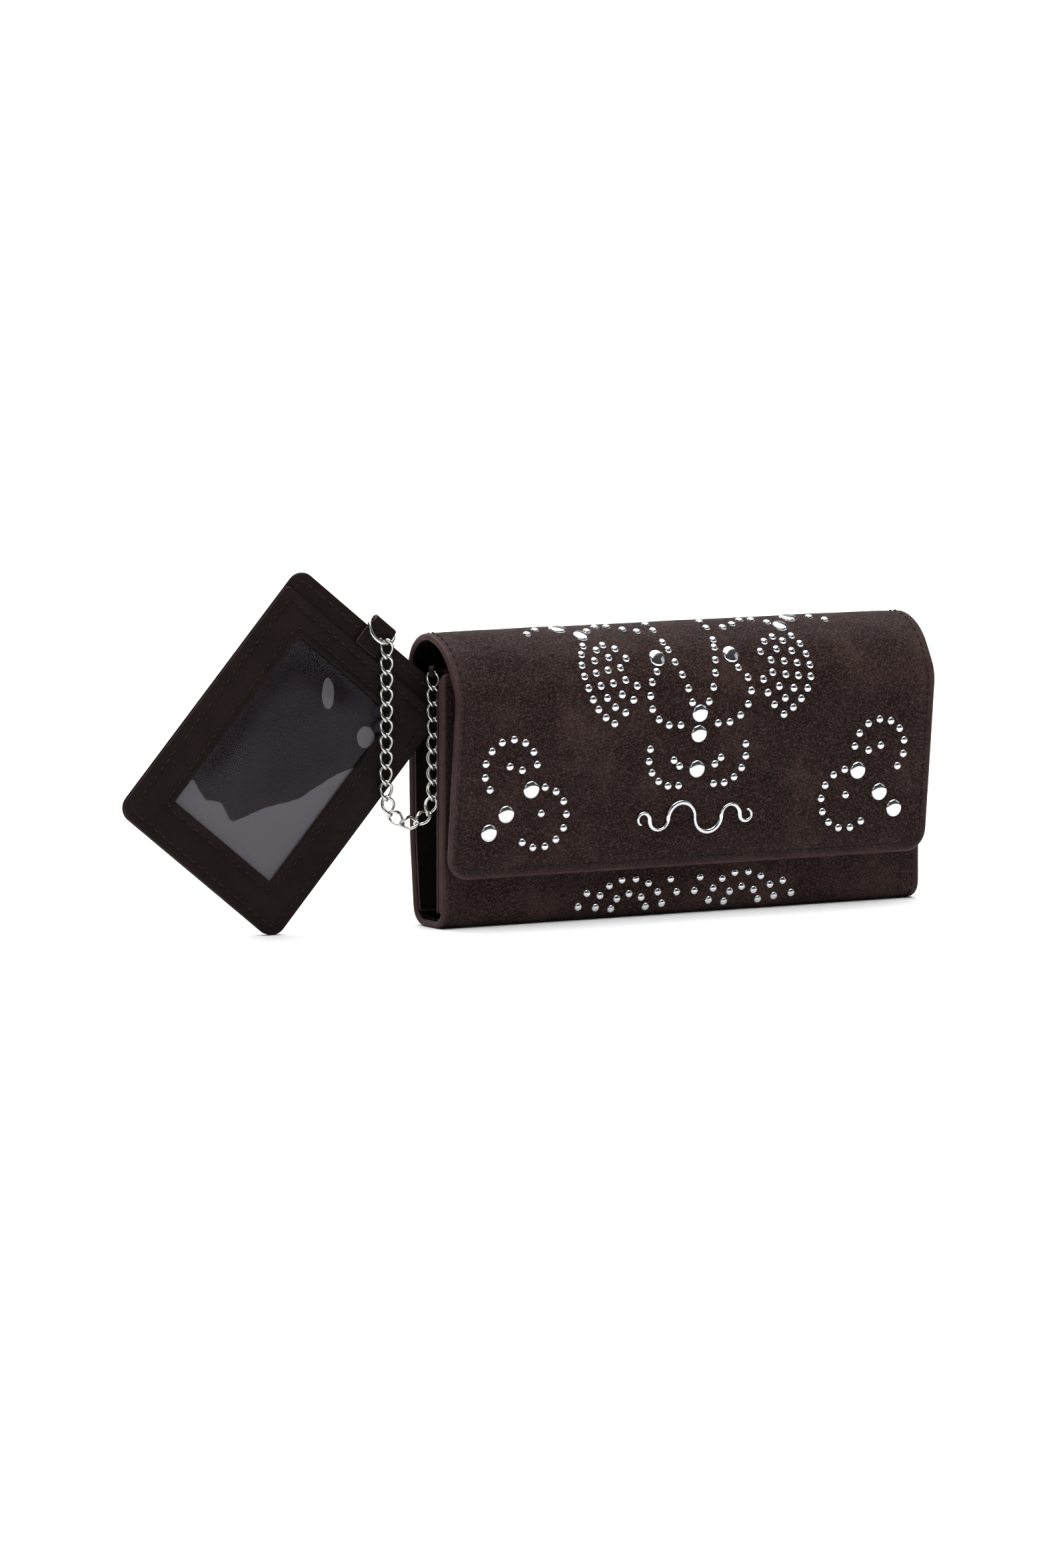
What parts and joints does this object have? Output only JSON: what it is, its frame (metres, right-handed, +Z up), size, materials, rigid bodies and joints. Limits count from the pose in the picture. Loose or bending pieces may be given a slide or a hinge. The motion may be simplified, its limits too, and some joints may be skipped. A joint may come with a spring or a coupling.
{
  "type": "chain wallet",
  "caption": "Long studded flap wallet on its rounded bottom edge, with zipped coin pocket, card slots, folding flap, and a windowed card holder hung from it on a curb chain",
  "frame": {"origin": "middle of the flat strip of the bottom edge that the wallet stands on", "axes": "X along the wallet with the card holder at -X, -Y to the front where the flap hangs, +Z up"},
  "size_m": [0.3052, 0.0382, 0.1233],
  "materials": {
    "suede_leather": "matt nubuck-like, mottled dark brown",
    "smooth_leather": "smooth fine grain, satin, dark brown",
    "lining": "woven dark brown lining",
    "chrome": "polished studs and ornament",
    "chain_metal": "polished nickel-coloured chain and ring",
    "snap_metal": "satin magnetic snap",
    "zip_metal": "nickel-coloured zip teeth, slider and pull",
    "zip_tape": "woven zip tape",
    "clear_film": "clear flexible vinyl"
  },
  "bodies": {
    "wallet": {"outer_cover": "suede_leather", "body_lining": "lining", "front_pocket_panel": "smooth_leather", "left_gusset": "lining", "right_gusset": "lining", "front_card_slots": "smooth_leather", "coin_pocket": "lining", "zip_tapes": "zip_tape", "zip_teeth": "zip_metal", "bill_divider": "lining", "back_card_slots": "smooth_leather", "body_studs": "chrome", "snap_socket": "snap_metal", "chain_strap": "smooth_leather"},
    "fold_1": {"fold_1_skin": "suede_leather", "fold_1_lining": "lining"},
    "fold_2": {"fold_2_skin": "suede_leather", "fold_2_lining": "lining", "fold_2_studs": "chrome"},
    "flap": {"flap_skin": "suede_leather", "flap_lining": "lining", "flap_small_studs": "chrome", "flap_large_studs": "chrome", "flap_badge": "chrome", "snap_stud": "snap_metal"},
    "zip_slider": {"zip_slider": "zip_metal"},
    "zip_pull": {"zip_pull": "zip_metal"},
    "card_holder": {"holder_back_panel": "smooth_leather", "holder_front_frame": "smooth_leather", "holder_window": "clear_film", "holder_tab": "smooth_leather", "holder_rivet": "chain_metal", "holder_d_ring": "chain_metal"},
    "chain": {"chain_link_01": "chain_metal", "chain_link_02": "chain_metal", "chain_link_03": "chain_metal", "chain_link_04": "chain_metal", "chain_link_05": "chain_metal", "chain_link_06": "chain_metal", "chain_link_07": "chain_metal", "chain_link_08": "chain_metal", "chain_link_09": "chain_metal", "chain_link_10": "chain_metal", "chain_link_11": "chain_metal", "chain_link_12": "chain_metal", "chain_link_13": "chain_metal", "chain_link_14": "chain_metal", "chain_link_15": "chain_metal", "chain_link_16": "chain_metal", "chain_link_17": "chain_metal", "chain_link_18": "chain_metal", "chain_link_19": "chain_metal", "chain_link_20": "chain_metal", "chain_link_21": "chain_metal", "chain_link_22": "chain_metal", "chain_link_23": "chain_metal"}
  },
  "joints": [
    {"name": "flap_open", "type": "hinge", "parent": "wallet", "child": "fold_1", "pos_m": [0, 0.01388, 0.09024], "axis": [-1, 0, 0], "range_deg": [0, 60]},
    {"name": "flap_crease", "type": "hinge", "parent": "fold_1", "child": "fold_2", "pos_m": [0, 0.00577, 0.10025], "axis": [-1, 0, 0], "range_deg": [0, 60]},
    {"name": "flap_lift", "type": "hinge", "parent": "fold_2", "child": "flap", "pos_m": [0, -0.01039, 0.09648], "axis": [-1, 0, 0], "range_deg": [0, 60]},
    {"name": "zip_slide", "type": "slide", "parent": "wallet", "child": "zip_slider", "axis": [1, 0, 0], "range_m": [0, 0.13]},
    {"name": "zip_pull_flip", "type": "hinge", "parent": "zip_slider", "child": "zip_pull", "pos_m": [-0.065, 0.0009, 0.0856], "axis": [0, -1, 0], "range_deg": [0, 170]},
    {"name": "chain_swing", "type": "hinge", "parent": "wallet", "child": "chain", "pos_m": [-0.0967, -0.0029, 0.0876], "axis": [0, 0, 1], "range_deg": [0, 12]},
    {"name": "card_holder_swing", "type": "hinge", "parent": "chain", "child": "card_holder", "pos_m": [-0.11371, -0.00078, 0.09829], "axis": [0, 0, 1], "range_deg": [0, 9]}
  ],
  "couplings": [
    {"joint": "flap_crease", "follows": "flap_open", "ratio": 1},
    {"joint": "flap_lift", "follows": "flap_open", "ratio": 1}
  ]
}
